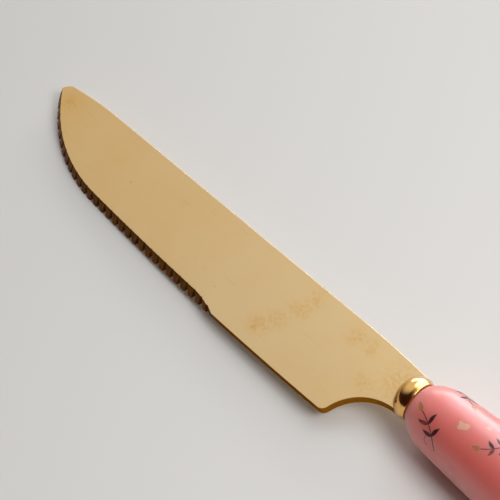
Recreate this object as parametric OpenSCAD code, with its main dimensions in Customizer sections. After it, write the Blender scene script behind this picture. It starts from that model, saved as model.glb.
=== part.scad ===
// A serving knife with a toothed, gold coloured blade and a stout porcelain handle.
// Each piece is drawn along the knife's own axis: X runs from the tip to the butt and is zero where
// the ferrule seats on the handle, Y runs from the cutting edge to the spine, and Z is up.
// The knife is then laid down, on its handle and on the belly of its edge, with Z zero on the table
// and the origin in the middle of its footprint.

/* [Blade] */
// Distance from the handle's seat to the tip of the blade
blade_reach = 153.7; // [140:0.1:180]
// Thickness of the sheet that the blade is stamped from
blade_thick = 2.8; // [2.3:0.1:3.4]
// Width of the blade from the spine to the edge, at its widest
blade_wide = 25.3; // [24:0.1:30]
// Height of the spine over the knife's axis
spine_high = 6.7; // [6.4:0.1:7.4]
// Distance from the seat to the widest place of the blade
widest_at = 52.4; // [44:0.2:60]
// Radius of the long arc of the edge
edge_arc = 1320; // [900:10:1800]
// Radius of the belly, where the edge turns up to the tip
belly_arc = 58.5; // [53:0.5:65]
// Radius of the arc by which the spine comes down to the tip
drop_arc = 133; // [115:1:160]
// Length of the spine that comes down to the tip
drop_long = 22.2; // [19:0.2:27]
// Radius of the rounded tip
tip_round = 3.5; // [2.8:0.1:4.4]
// Width of the blade's neck where it meets the ferrule
neck_wide = 11.3; // [10.4:0.1:11.6]
// Length of the spine that comes down to the neck
shoulder_long = 25; // [18:1:32]
// Radius of the hollow between the neck and the heel
choil_arc = 13.5; // [12:0.1:15]
// Distance from the seat to the centre of that hollow
choil_at = 2.2; // [2:0.1:3]
// Radius of the heel's corner
heel_round = 2; // [1:0.1:3]

/* [Cutting edge] */
// Width of the ground face, seen from above
bevel_wide = 1.75; // [1.2:0.05:2.2]
// Thickness left at the cutting edge
edge_land = 0.25; // [0.15:0.05:0.5]
// Length of the ground face, from the tip to where its wheel lifts off
bevel_long = 86; // [74:0.5:92]
// Radius of the curve by which the ground face runs out
runout_arc = 25; // [18:1:32]
// Distance between two teeth, measured along the knife
tooth_pitch = 3.2; // [2.6:0.1:4.2]
// Distance from the tip to the first tooth
first_tooth = 3.05; // [2.8:0.05:5]
// Depth of the notch behind a tooth
notch_deep = 1.1; // [0.7:0.05:1.3]
// Length of the notch behind a tooth
notch_long = 1.8; // [1.3:0.1:2.3]
// How far a notch reaches past the ground face on the upper side
notch_past = 0.12; // [0.05:0.01:0.3]

/* [Tang] */
// Length of the tang behind the seat
tang_long = 72; // [50:1:80]
// Width of the tang at the seat
tang_wide = 7; // [5.4:0.1:7.4]
// Width of the tang near its end
tang_end_wide = 4.6; // [3.6:0.1:5]
// Thickness of the tang
tang_thick = 2.2; // [1.6:0.1:2.2]

/* [Ferrule] */
// Largest radius of the ferrule's bead
bead_radius = 6; // [5.9:0.05:6.6]
// Radius of the bead's rounding
bead_round = 3.8; // [3.4:0.1:4.4]
// Distance from the seat to the bead's widest place
bead_at = 1.6; // [1.4:0.1:2]
// Radius of the lip that seats on the handle
lip_radius = 5.7; // [5.5:0.05:5.8]
// Thickness of that lip
lip_thick = 1; // [0.7:0.1:1.2]
// Rounding of the lip's rims
lip_round = 0.25; // [0.15:0.05:0.35]
// Radius of the spigot that centres the ferrule in the handle
spigot_radius = 4.3; // [4.2:0.05:4.6]
// Length of that spigot
spigot_long = 3.4; // [2.4:0.1:4.4]

/* [Handle] */
// Length of the handle
handle_long = 108; // [100:1:125]
// Radius of the handle at its widest
handle_radius = 9.9; // [9.5:0.1:11]
// Distance from the seat to the handle's widest place
handle_widest_at = 41; // [36:1:48]
// Radius of the long arc from the nose to the widest place
front_arc = 430; // [360:5:520]
// Radius of the long arc from the widest place to the butt
rear_arc = 650; // [580:10:900]
// Radius of the nose's rounding
nose_arc = 12.3; // [11.4:0.1:13.4]
// Radius of the flat seat on the nose
seat_radius = 5.1; // [4.9:0.05:5.5]
// Wall of the hollow porcelain
handle_wall = 3.2; // [2.6:0.1:3.4]

/* [Fits] */
// Gap between the tang and what it passes through, on each side
tang_gap = 0.1; // [0.06:0.01:0.2]
// Gap between the blade's shoulder and the bead
shoulder_gap = 0.08; // [0.06:0.01:0.15]
// Gap between the spigot and its socket
spigot_gap = 0.1; // [0.06:0.01:0.2]
// Gap between the filling and the porcelain
filling_gap = 0.08; // [0.06:0.01:0.15]

/* [Resting] */
// How far the knife leans towards its edge as it lies
lean = 11; // [6:0.5:14]

/* [Hidden] */
gold = "#cfae7a";
polished_gold = "#c8942a";
pink = "#dfa9a2";
resin = "#b9b3a6";
// How far a cut runs past what it cuts
overrun = 1;
// How far a shape that clips an arc reaches past it
beyond = 24;
// Length of a facet on round shapes, and the fewest facets round one
facet = 1.2;
fewest = 72;
// How far a straight step in the blade's outline may stray from its arc
stray = 0.005;
turn = 360;
// Straight steps in each long stretch of the handle's outline
stretch_steps = 8;
// Steep side of a notch, as a share of its depth
flank_share = 0.2;
// Flat root of a notch, as a share of its length
root_share = 0.14;
// Share of the ground face's run-out that still has teeth
toothed_share = 0.8;
// Steepest angle tried, and halvings made, to find how the knife rests
steepest = 15;
halvings = 40;

function facets(r) = max(fewest, ceil(2 * PI * r / facet));
function angle_of(v) = atan2(v.y, v.x);
// Unit vector from one point to another
function towards(a, b) = (b - a) / norm(b - a);
// Where circles round a and b cross, on the left of the way from a to b
function crossing(a, ra, b, rb) =
    let (
        apart = norm(b - a),
        ahead = towards(a, b),
        along = (ra * ra - rb * rb + apart * apart) / (2 * apart),
        aside = sqrt(ra * ra - along * along)
    )
    a + along * ahead + aside * [-ahead.y, ahead.x];
// Where the way from the centre c to p meets the circle round c
function on_arc(c, r, p) = c + r * towards(c, p);
// Points in short straight steps along the circle round c, from p the short way to just before q
function arc_points(c, r, p, q) =
    let (
        from = angle_of(p - c),
        sweep = (angle_of(q - c) - from + 1.5 * turn) % turn - turn / 2,
        steps = ceil(abs(sweep) * 2 * PI / turn * sqrt(r / (8 * stray)))
    )
    [
        for (i = [0 : steps - 1])
            let (a = from + sweep * i / steps)
            c + r * [cos(a), sin(a)]
    ];
// How far a circle's line is from its centre along Y, at dx from the centre along X
function leg(r, dx) = sqrt(r * r - dx * dx);

// Centres of the arcs in the blade's outline
tip_x = -blade_reach;
edge_c = [-widest_at, spine_high - blade_wide + edge_arc];
drop_start = [tip_x + drop_long, spine_high];
drop_c = drop_start - [0, drop_arc];
tip_c = [tip_x + tip_round, drop_c.y + leg(drop_arc - tip_round, drop_long - tip_round)];
belly_c = crossing(edge_c, edge_arc - belly_arc, tip_c, belly_arc - tip_round);
neck_half = neck_wide / 2;
neck_drop = spine_high - neck_half;
shoulder_arc = (shoulder_long * shoulder_long + neck_drop * neck_drop) / (2 * neck_drop);
shoulder_start = [-bead_at - shoulder_long, spine_high];
shoulder_end = [-bead_at, neck_half];
shoulder_c = shoulder_start - [0, shoulder_arc];
neck_low = [-choil_at, -neck_half];
choil_c = neck_low - [0, choil_arc];
heel_c = crossing(choil_c, choil_arc + heel_round, edge_c, edge_arc - heel_round);

// Places where one stretch of the outline turns into the next
tip_drop = on_arc(drop_c, drop_arc, tip_c);
tip_belly = on_arc(belly_c, belly_arc, tip_c);
belly_edge = on_arc(edge_c, edge_arc, belly_c);
edge_heel = on_arc(edge_c, edge_arc, heel_c);

// The ground face and its run-out
land_z = edge_land - blade_thick / 2;
bevel_high = blade_thick - edge_land;
bevel_slope = bevel_wide / bevel_high;
runout_x = tip_x + bevel_long;
runout_edge = [runout_x, edge_c.y - leg(edge_arc, runout_x - edge_c.x)];
runout_c = runout_edge + (runout_arc - bevel_wide) * towards(edge_c, runout_edge);
runout_long = leg(runout_arc, runout_arc - bevel_wide);
teeth = floor((bevel_long + toothed_share * runout_long - first_tooth) / tooth_pitch) + 1;
function edge_centre(x) = x < belly_edge.x ? belly_c : edge_c;
function edge_radius(x) = x < belly_edge.x ? belly_arc : edge_arc;
function edge_point(x) = [x, edge_centre(x).y - leg(edge_radius(x), x - edge_centre(x).x)];
function bevel_width(x) =
    bevel_wide - (x < runout_x ? 0 : runout_arc - leg(runout_arc, x - runout_x));

// Centres of the arcs in the handle's outline, as radius against X
front_c = [handle_radius - front_arc, handle_widest_at];
rear_c = [handle_radius - rear_arc, handle_widest_at];
nose_c = crossing(front_c, front_arc - nose_arc, [seat_radius, 0], nose_arc);
rear_left = rear_arc - handle_long;
butt_x =
    (handle_widest_at * handle_widest_at + rear_c.x * rear_c.x - rear_left * rear_left)
        / (2 * (handle_widest_at + rear_left));
butt_c = [0, butt_x];
butt_round = handle_long - butt_x;
nose_end = on_arc(front_c, front_arc, nose_c);
butt_start = on_arc(rear_c, rear_arc, butt_c);
// Where the spigot's socket opens into the hollow
socket_end = spigot_long + 2 * spigot_gap;

// Height of the knife's axis over the table at X zero, as its handle and as its belly would have
// it at a tilt, and the tilt at which both touch the table
function handle_drop(tilt) = front_arc + front_c.x * cos(tilt) - front_c.y * sin(tilt);
function belly_drop(tilt) =
    let (fall = [sin(tilt), sin(lean) * cos(tilt)])
    belly_arc * norm(fall) - belly_c * fall + blade_thick / 2 * cos(lean) * cos(tilt);
function level(low, high, times) =
    let (middle = (low + high) / 2)
    times == 0
        ? middle
        : belly_drop(middle) > handle_drop(middle)
            ? level(low, middle, times - 1)
            : level(middle, high, times - 1);
tilt = level(0, steepest, halvings);
tip_turn = [cos(tilt), -sin(lean) * sin(tilt)];
tip_end = tip_c * tip_turn - tip_round * norm(tip_turn) - blade_thick / 2 * cos(lean) * sin(tilt);
butt_end = butt_x * cos(tilt) + butt_round;
edge_side = (spine_high - blade_wide) * cos(lean) - blade_thick / 2 * sin(lean);
resting = [-(tip_end + butt_end) / 2, -(edge_side + handle_radius) / 2, handle_drop(tilt)];

// Lays a piece from the knife's own axis down on the table
module laid() {
    translate(resting) rotate([0, -tilt, 0]) rotate([lean, 0, 0]) children();
}

// Turns a profile of radius against X round the knife's axis
module turned(r) {
    rotate([0, 90, 0]) rotate_extrude($fn = facets(r)) children();
}

module disc(c, r) {
    translate(c) circle(r = r, $fn = facets(r));
}

// What lies between the ways from c to p and from c to q, from one radius to another
module sector(c, inner, outer, p, q) {
    polygon([on_arc(c, inner, p), on_arc(c, outer, p), on_arc(c, outer, q), on_arc(c, inner, q)]);
}

module blade_outline() {
    heel_end = on_arc(heel_c, heel_round, choil_c);
    polygon(concat(
        arc_points(shoulder_c, shoulder_arc, shoulder_end, shoulder_start),
        arc_points(drop_c, drop_arc, drop_start, tip_drop),
        arc_points(tip_c, tip_round, tip_drop, tip_belly),
        arc_points(belly_c, belly_arc, tip_belly, belly_edge),
        arc_points(edge_c, edge_arc, belly_edge, edge_heel),
        arc_points(heel_c, heel_round, edge_heel, heel_end),
        arc_points(choil_c, choil_arc, heel_end, neck_low),
        [neck_low, [-bead_at, -neck_half]]
    ));
}

// A cone whose radius at the land is given, and grows with height by a slope
module edge_cone(c, land_r, slope) {
    below = 2 * overrun;
    above = bevel_high + 2 * overrun;
    translate([c.x, c.y, land_z - below])
        cylinder(
            r1 = land_r - slope * below,
            r2 = land_r + slope * above,
            h = below + above,
            $fn = facets(land_r)
        );
}

// What the wheel takes off outside an arc of the edge, where the zone drawn as a child is
module ground_arc(c, r) {
    difference() {
        translate([0, 0, land_z - overrun])
            linear_extrude(bevel_high + 2 * overrun) children();
        edge_cone(c, r, -bevel_slope);
    }
}

// The ground face runs out by itself at the tip, and by a lifted wheel before the heel
module ground_off() {
    ground_arc(belly_c, belly_arc)
        polygon([
            belly_c,
            [tip_x - beyond, belly_c.y],
            [tip_x - beyond, edge_c.y - edge_arc - beyond],
            on_arc(belly_c, belly_arc + beyond, belly_edge)
        ]);
    ground_arc(edge_c, edge_arc)
        sector(edge_c, edge_arc - 2 * bevel_wide, edge_arc + beyond, belly_edge, runout_edge);
    edge_cone(runout_c, runout_arc - bevel_wide, bevel_slope);
}

// The notch behind one tooth, steep at the tooth and leaning in with the ground face
module notch(x) {
    tooth = edge_point(x);
    deep = notch_deep * bevel_width(x) / bevel_wide;
    flank = flank_share * deep;
    root = root_share * notch_long;
    ramp = notch_long - flank - root;
    tall = blade_thick + 4 * overrun;
    translate([tooth.x, tooth.y, -blade_thick / 2])
        rotate([0, 0, angle_of(edge_centre(x) - tooth) - 90])
            rotate([-atan((bevel_width(x) + notch_past - deep) / blade_thick), 0, 0])
                translate([0, 0, (blade_thick - tall) / 2])
                    linear_extrude(tall)
                        polygon([
                            [-flank * overrun / deep, -overrun],
                            [flank, deep],
                            [flank + root, deep],
                            [notch_long + ramp * overrun / deep, -overrun]
                        ]);
}

// The tang, larger all round by a gap, from inside the blade to its round end
module tang(gap) {
    front = -bead_at - bead_round - tang_wide;
    half = tang_wide / 2 + gap;
    end_half = tang_end_wide / 2 + gap;
    end_x = tang_long - tang_end_wide / 2;
    tall = tang_thick + 2 * gap;
    translate([0, 0, -tall / 2])
        linear_extrude(tall) {
            polygon([
                [front, -half],
                [0, -half],
                [end_x, -end_half],
                [end_x, end_half],
                [0, half],
                [front, half]
            ]);
            disc([end_x, 0], end_half);
        }
}

// Half of the bead's section, larger all round by a gap
module bead_section(gap) {
    front = -bead_at - bead_round - gap;
    flat = bead_radius - bead_round;
    translate([0, front]) square([flat, -lip_thick - front]);
    intersection() {
        disc([flat, -bead_at], bead_round + gap);
        translate([0, front]) square([bead_radius + gap, -lip_thick - front]);
    }
}

module blade() {
    color(gold)
        laid() {
            difference() {
                translate([0, 0, -blade_thick / 2]) linear_extrude(blade_thick) blade_outline();
                turned(bead_radius) bead_section(shoulder_gap);
                ground_off();
                for (i = [0 : teeth - 1]) notch(tip_x + first_tooth + i * tooth_pitch);
            }
            tang(0);
        }
}

module ferrule() {
    inner = lip_radius - lip_round;
    color(polished_gold)
        laid()
            difference() {
                turned(bead_radius) {
                    bead_section(0);
                    translate([0, -lip_thick]) square([inner, lip_thick]);
                    translate([0, lip_round - lip_thick]) square([lip_radius, lip_thick - 2 * lip_round]);
                    disc([inner, lip_round - lip_thick], lip_round);
                    disc([inner, -lip_round], lip_round);
                    translate([0, -lip_thick]) square([spigot_radius, lip_thick + spigot_long]);
                }
                tang(tang_gap);
            }
}

// Points of the barrel between nose and butt, drawn in by an inset
function stretch(c, r, from, to, inset) = [
    for (i = [0 : stretch_steps])
        let (x = from + (to - from) * i / stretch_steps)
        [c.x + leg(r, x - c.y) - inset, x]
];
function barrel(inset) = concat(
    stretch(front_c, front_arc, nose_end.y, handle_widest_at, inset),
    stretch(rear_c, rear_arc, handle_widest_at, butt_start.y, inset)
);

// Keeps the half of a section that is turned
module half() {
    intersection() {
        children();
        translate([0, -handle_long]) square([handle_long, 3 * handle_long]);
    }
}

// Half of the handle's section
module handle_section() {
    half()
        intersection() {
            union() {
                polygon(concat([[0, nose_end.y]], barrel(0), [butt_c]));
                disc(nose_c, nose_arc);
                disc(butt_c, butt_round);
            }
            translate([-handle_long, 0]) square(2 * handle_long);
        }
}

// Half of the hollow's section from one X on, with the spigot's socket at its mouth, drawn in by
// a gap
module hollow_section(from, gap) {
    inset = handle_wall + gap;
    mouth = spigot_radius + spigot_gap - gap;
    half() {
        polygon(concat([[0, from], [mouth, from], [mouth, socket_end]], barrel(inset), [butt_c]));
        disc(butt_c, butt_round - inset);
    }
}

module handle() {
    color(pink)
        laid()
            turned(handle_radius)
                difference() {
                    handle_section();
                    hollow_section(-overrun, 0);
                }
}

module filling() {
    color(resin)
        laid()
            difference() {
                turned(handle_radius) hollow_section(spigot_long + spigot_gap, filling_gap);
                tang(tang_gap);
            }
}

blade();
ferrule();
handle();
filling();
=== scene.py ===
"""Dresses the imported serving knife: a gold coloured blade, a ferrule bead and a porcelain handle.

Each piece is built in millimetres on the knife's own axis, where X runs from the tip to the butt and
is zero at the handle's seat, and Y runs from the edge to the spine. It is then laid on the table.
"""

import logging
import math
import random
from dataclasses import dataclass
from enum import Enum

import bmesh
import bpy
from bmesh.types import BMesh, BMFace, BMVert
from bpy.types import Material, Node, NodeSocket, NodeTree, Object
from mathutils import Matrix, Vector


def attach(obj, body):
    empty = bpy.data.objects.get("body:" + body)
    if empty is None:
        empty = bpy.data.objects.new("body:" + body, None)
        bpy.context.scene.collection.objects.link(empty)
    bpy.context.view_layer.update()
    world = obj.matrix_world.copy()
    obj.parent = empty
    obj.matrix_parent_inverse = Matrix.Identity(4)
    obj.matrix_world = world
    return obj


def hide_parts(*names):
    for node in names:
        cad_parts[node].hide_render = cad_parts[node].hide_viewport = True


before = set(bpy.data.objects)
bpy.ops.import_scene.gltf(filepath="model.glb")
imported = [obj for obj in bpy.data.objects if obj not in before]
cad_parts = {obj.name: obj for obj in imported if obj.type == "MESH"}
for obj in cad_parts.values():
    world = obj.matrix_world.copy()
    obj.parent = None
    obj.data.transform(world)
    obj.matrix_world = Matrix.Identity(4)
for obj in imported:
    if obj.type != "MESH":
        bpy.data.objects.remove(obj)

LOG = logging.getLogger("serving_knife")
MM = 0.001
# Faces that meet at more than this angle, in degrees, are shaded apart
SHARP = 38

Point = tuple[float, float]
Place = tuple[float, float, float]
Source = Node | NodeSocket


class Side(Enum):
    """Whether the wheel ground a stretch of the blade's outline."""

    PLAIN = "plain"
    GROUND = "ground"


class Face(Enum):
    """The finishes on the blade, in the order of its material slots."""

    SATIN = 0
    GROUND = 1
    BLANKED = 2


def linear(code: str) -> tuple[float, float, float, float]:
    """Turns an sRGB hex colour to linear.

    Args:
        code: The colour, as "#rrggbb".

    Returns:
        Red, green, blue and alpha.
    """
    parts = [int(code[i : i + 2], 16) / 255 for i in (1, 3, 5)]
    return (*[c / 12.92 if c <= 0.04045 else ((c + 0.055) / 1.055) ** 2.4 for c in parts], 1.0)


def per_metre(length_mm: float) -> float:
    """Returns the texture scale at which one period is this many millimetres long."""
    return 1 / (length_mm * MM)


def add_node(
    tree: NodeTree, kind: str, inputs: dict[str | int, object] | None = None, **settings: object
) -> Node:
    """Adds a node with its settings and what its inputs take.

    Args:
        tree: The tree that the node goes in.
        kind: The node's type.
        inputs: For each input, by name or number, a value, or the socket or node that feeds it. A
            node feeds it from its first output that is in use.
        settings: The node's own settings.

    Returns:
        The new node.
    """
    node = tree.nodes.new(kind)
    for name, value in settings.items():
        setattr(node, name, value)
    for key, value in (inputs or {}).items():
        if isinstance(value, Node):
            value = next(socket for socket in value.outputs if socket.enabled)
        if isinstance(value, NodeSocket):
            tree.links.new(value, node.inputs[key])
        else:
            node.inputs[key].default_value = value
    return node


def new_material(name: str) -> tuple[Material, NodeTree]:
    """Makes an empty node material.

    Args:
        name: The material's name.

    Returns:
        The material and its node tree.
    """
    material = bpy.data.materials.new(name)
    material.use_nodes = True
    material.node_tree.nodes.clear()
    return material, material.node_tree


def close_material(tree: NodeTree, shader: Node) -> None:
    """Links a shader to the material's output."""
    add_node(tree, "ShaderNodeOutputMaterial", {"Surface": shader})


@dataclass(frozen=True)
class Pattern:
    """A cloudy pattern, by the size of its patches in millimetres."""

    size_mm: float
    detail: float = 3.0
    roughness: float = 0.5
    # Levels of the pattern at which it gives its first and last value, and those two values
    levels: Point = (0.0, 1.0)
    values: Point = (0.0, 1.0)

    def add(self, tree: NodeTree, place: Source) -> tuple[Node, Node]:
        """Adds the pattern to a material.

        Args:
            tree: The material's tree.
            place: What gives the place, in metres.

        Returns:
            The nodes that give the value and the bare pattern, which are one where it stays as it is.
        """
        bare = add_node(
            tree,
            "ShaderNodeTexNoise",
            {
                "Vector": place,
                "Scale": per_metre(self.size_mm),
                "Detail": self.detail,
                "Roughness": self.roughness,
            },
        )
        if self.levels == self.values == (0.0, 1.0):
            return bare, bare
        ends = dict(zip(("From Min", "From Max", "To Min", "To Max"), (*self.levels, *self.values)))
        return add_node(tree, "ShaderNodeMapRange", {"Value": bare, **ends}), bare


@dataclass(frozen=True)
class Mottle:
    """Two colours that a pattern mixes."""

    one: str
    other: str
    pattern: Pattern

    def add(self, tree: NodeTree, place: Source) -> tuple[Node, Node]:
        """Adds the mottle to a material.

        Args:
            tree: The material's tree.
            place: What gives the place, in metres.

        Returns:
            The nodes that give the colour and the bare pattern.
        """
        share, bare = self.pattern.add(tree, place)
        colours = {"Factor": share, "A": linear(self.one), "B": linear(self.other)}
        return add_node(tree, "ShaderNodeMix", colours, data_type="RGBA"), bare


@dataclass(frozen=True)
class Lay:
    """How the knife lies on the table: it leans to its edge and tilts down to its tip, in degrees."""

    lean: float = 11.0
    tilt: float = 1.99314
    # Where the knife's axis is at X zero, in millimetres
    place: Place = (22.8641, 4.3127, 8.72819)

    def matrix(self) -> Matrix:
        """Returns the way from the knife's own axis, in millimetres, to the table, in metres."""
        lean, tilt = math.radians(self.lean), math.radians(-self.tilt)
        turned = Matrix.Rotation(tilt, 4, "Y") @ Matrix.Rotation(lean, 4, "X")
        return Matrix.Scale(MM, 4) @ Matrix.Translation(self.place) @ turned


LAY = Lay()


@dataclass(frozen=True)
class Mark:
    """A stain, speck or patch of painted shade on the blade, by its place on the blade and its radius in
    millimetres.
    """

    x: float
    y: float
    radius: float


@dataclass(frozen=True)
class SatinGoldSteel:
    """Stainless steel, tumbled to a satin and then coated with a gold coloured nitride vapour.

    The eye sees a soft, even champagne sheen with no brush lines, a little deeper in colour
    toward the tip, with a few faint golden stains, specks and hairline scratches from use. A patch
    of painted shade darkens the face next to the bead.
    """

    pale: str = "#dcbe8c"
    deep: str = "#d8b072"
    # Colour of the stains, and of the painted shade on the face next to the bead
    stain_and_shade: str = "#d0963a"
    speck: str = "#8a6a35"
    # The tumbler's haze, with its lowest and highest roughness
    haze: Pattern = Pattern(3.0, 3.0, 0.6, (0.3, 0.7), (0.33, 0.4))
    # Its pits are some 0.05 mm wide and are drawn coarser, so that they show
    pit_mm: float = 0.35
    pit_deep: float = 0.01
    # Hairlines are some 0.03 mm wide and are drawn coarser, so that they show
    hairs: Pattern = Pattern(0.55, 1.0, levels=(0.71, 0.76), values=(0.0, 0.12))
    # A hairline's width as a share of its length, and its turn in radians
    hairline_share: float = 0.05
    hairline_turn: float = 0.42
    # Clouds of the deep colour, and the dapple in a stain
    cloud: Pattern = Pattern(26.0, 4.0, 0.55, (0.35, 0.7), (0.0, 0.34))
    dapple: Pattern = Pattern(1.1, 4.0, 0.65, (0.42, 0.64), (0.1, 0.55))
    # How far the haze frays a stain's rim
    fray_mm: float = 5.0
    # Shares of the deep colour at the tip, and of its own colour in a speck
    tip_share: float = 0.62
    speck_share: float = 0.75
    # The deep colour fades from the tip to here
    tip_x: float = -153.7
    heel_x: float = -60.0
    # Height of the blade's upper face over the knife's axis
    face_high: float = 1.4
    stains_and_shade: tuple[Mark, ...] = (
        Mark(-46.0, -12.5, 5.2),
        Mark(-43.2, -8.1, 5.0),
        Mark(-40.5, -1.9, 5.2),
        Mark(-39.5, 3.3, 4.2),
        Mark(-24.1, 2.0, 4.4),
        Mark(-18.7, 2.6, 3.8),
        Mark(-13.3, -5.7, 4.6),
        # Painted shade: this mark darkens and dapples the face next to the bead
        Mark(-6.0, 0.0, 10.0),
        Mark(-147.0, 1.0, 6.0),
    )
    specks: tuple[Mark, ...] = (
        Mark(-108.7, -5.8, 0.34),
        Mark(-107.5, -8.3, 0.18),
        Mark(-99.5, 0.1, 0.22),
        Mark(-83.0, -2.8, 0.2),
        Mark(-74.7, -9.9, 0.2),
        Mark(-63.5, -12.3, 0.25),
    )

    def _near(self, tree: NodeTree, place: Source, marks: tuple[Mark, ...]) -> Node:
        """Finds how near a point is to the nearest of some marks.

        Args:
            tree: The material's tree.
            place: What gives the place, in metres.
            marks: The marks.

        Returns:
            The node that gives 1 in the middle of a mark and 0 away from all of them.
        """
        nears = []
        for mark in marks:
            centre = LAY.matrix() @ Vector((mark.x, mark.y, self.face_high))
            gap = add_node(tree, "ShaderNodeVectorMath", {0: place, 1: centre}, operation="DISTANCE")
            near = add_node(
                tree,
                "ShaderNodeMapRange",
                {"Value": gap, "From Max": mark.radius * MM, "To Min": 1.0, "To Max": 0.0},
                interpolation_type="SMOOTHSTEP",
            )
            nears.append(near)
        most, *others = nears
        for near in others:
            most = add_node(tree, "ShaderNodeMath", {0: most, 1: near}, operation="MAXIMUM")
        return most

    def _deep(self, tree: NodeTree, place: NodeSocket) -> Node:
        """Lets the colour deepen toward the tip and in soft clouds.

        Args:
            tree: The material's tree.
            place: The socket with the place, in metres.

        Returns:
            The node that gives the deep colour's share.
        """
        along = add_node(tree, "ShaderNodeSeparateXYZ", {0: place}).outputs["X"]
        tip, heel = [(LAY.matrix() @ Vector((x, 0, 0))).x for x in (self.tip_x, self.heel_x)]
        to_tip = add_node(
            tree,
            "ShaderNodeMapRange",
            {"Value": along, "From Min": tip, "From Max": heel, "To Min": self.tip_share, "To Max": 0.0},
        )
        clouded, _ = self.cloud.add(tree, place)
        return add_node(tree, "ShaderNodeMath", {0: to_tip, 1: clouded}, operation="ADD", use_clamp=True)

    def _stains_and_shade(self, tree: NodeTree, place: NodeSocket, wander: Node) -> Node:
        """Lays the dappled stains and the painted shade next to the bead, with frayed rims.

        Args:
            tree: The material's tree.
            place: The socket with the place, in metres.
            wander: The haze's bare pattern, which frays the rims.

        Returns:
            The node that gives the share of the stains and of the painted shade.
        """
        shift = add_node(
            tree,
            "ShaderNodeVectorMath",
            {0: wander.outputs["Color"], 1: (0.5, 0.5, 0.5)},
            operation="SUBTRACT",
        )
        frayed = add_node(
            tree,
            "ShaderNodeVectorMath",
            {0: shift, 1: [self.fray_mm * MM] * 3, 2: place},
            operation="MULTIPLY_ADD",
        )
        dappled, _ = self.dapple.add(tree, place)
        near = self._near(tree, frayed, self.stains_and_shade)
        return add_node(tree, "ShaderNodeMath", {0: near, 1: dappled}, operation="MULTIPLY")

    def _scratched(self, tree: NodeTree, place: NodeSocket) -> Node:
        """Draws the hairline scratches.

        Args:
            tree: The material's tree.
            place: The socket with the place, in metres.

        Returns:
            The node that gives the scratches' share.
        """
        drawn = add_node(
            tree,
            "ShaderNodeMapping",
            {
                "Vector": place,
                "Rotation": (0.0, 0.0, self.hairline_turn),
                "Scale": (self.hairline_share, 1.0, 1.0),
            },
        )
        hairs, _ = self.hairs.add(tree, drawn)
        return hairs

    def build(self) -> Material:
        """Builds the material.

        Returns:
            The material.
        """
        material, tree = new_material("satin_gold_steel")
        place = add_node(tree, "ShaderNodeTexCoord").outputs["Object"]
        roughness, wander = self.haze.add(tree, place)
        specked = add_node(
            tree,
            "ShaderNodeMath",
            {0: self._near(tree, place, self.specks), 1: self.speck_share},
            operation="MULTIPLY",
        )
        tint: Node | tuple[float, ...] = linear(self.pale)
        for share, colour in (
            (self._deep(tree, place), self.deep),
            # The stains, and the painted shade on the face next to the bead
            (self._stains_and_shade(tree, place, wander), self.stain_and_shade),
            (specked, self.speck),
            (self._scratched(tree, place), self.speck),
        ):
            colours = {"Factor": share, "A": tint, "B": linear(colour)}
            tint = add_node(tree, "ShaderNodeMix", colours, data_type="RGBA")
        pits = add_node(
            tree,
            "ShaderNodeTexNoise",
            {"Vector": place, "Scale": per_metre(self.pit_mm), "Detail": 2.0},
        )
        bump = add_node(
            tree, "ShaderNodeBump", {"Strength": 0.12, "Distance": self.pit_deep * MM, "Height": pits}
        )
        shader = add_node(
            tree,
            "ShaderNodeBsdfPrincipled",
            {"Base Color": tint, "Metallic": 1.0, "Roughness": roughness, "Normal": bump},
        )
        close_material(tree, shader)
        return material


@dataclass(frozen=True)
class WheelGroundGoldSteel:
    """The same coated steel where a wheel ground the bevel and its teeth.

    The coarse scratches run across the edge. Its dark bronze brown is painted shade, standing in for the
    dark room that the bevel reflects.
    """

    # Scratches are some 0.03 mm apart and are drawn coarser, so that they show
    # Both colours are painted shade: a dark bronze brown for the dark room that the bevel reflects
    colours: Mottle = Mottle("#502d04", "#86500c", Pattern(0.22, levels=(0.3, 0.75)))
    # A scratch's width as a share of its length, and its depth in millimetres
    scratch_share: float = 0.08
    scratch_deep: float = 0.02
    roughness: float = 0.5

    def build(self) -> Material:
        """Builds the material.

        Returns:
            The material.
        """
        material, tree = new_material("wheel_ground_gold_steel")
        place = add_node(tree, "ShaderNodeTexCoord").outputs["Object"]
        stretch = (1.0, self.scratch_share, self.scratch_share)
        drawn = add_node(tree, "ShaderNodeMapping", {"Vector": place, "Scale": stretch})
        # The painted shade, mottled by the scratches
        tint, scratch = self.colours.add(tree, drawn)
        bump = add_node(
            tree,
            "ShaderNodeBump",
            {"Strength": 0.35, "Distance": self.scratch_deep * MM, "Height": scratch},
        )
        shader = add_node(
            tree,
            "ShaderNodeBsdfPrincipled",
            {"Base Color": tint, "Metallic": 1.0, "Roughness": self.roughness, "Normal": bump},
        )
        close_material(tree, shader)
        return material


@dataclass(frozen=True)
class BlankedGoldSteel:
    """The cut sides of the sheet, rounded in the tumbler and coated.

    They are a little rougher than the faces and of a deeper gold, and they turn away from the light. Part
    of their colour's darkness is painted shade.
    """

    # Streaks that the punch left, by their width
    # Both colours are partly painted shade, darker than the sheet's gold
    colours: Mottle = Mottle("#bd8738", "#87591e", Pattern(0.8))
    # Colour of its shine at a grazing angle
    grazing: str = "#c99a58"
    roughness: float = 0.38
    streak_deep: float = 0.02

    def build(self) -> Material:
        """Builds the material.

        Returns:
            The material.
        """
        material, tree = new_material("blanked_gold_steel")
        place = add_node(tree, "ShaderNodeTexCoord").outputs["Object"]
        # The streaked colour, partly painted shade
        tint, streak = self.colours.add(tree, place)
        bump = add_node(
            tree,
            "ShaderNodeBump",
            {"Strength": 0.2, "Distance": self.streak_deep * MM, "Height": streak},
        )
        shader = add_node(
            tree,
            "ShaderNodeBsdfPrincipled",
            {
                "Base Color": tint,
                "Metallic": 1.0,
                "Roughness": self.roughness,
                "Specular Tint": linear(self.grazing),
                "Normal": bump,
            },
        )
        close_material(tree, shader)
        return material


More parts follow.
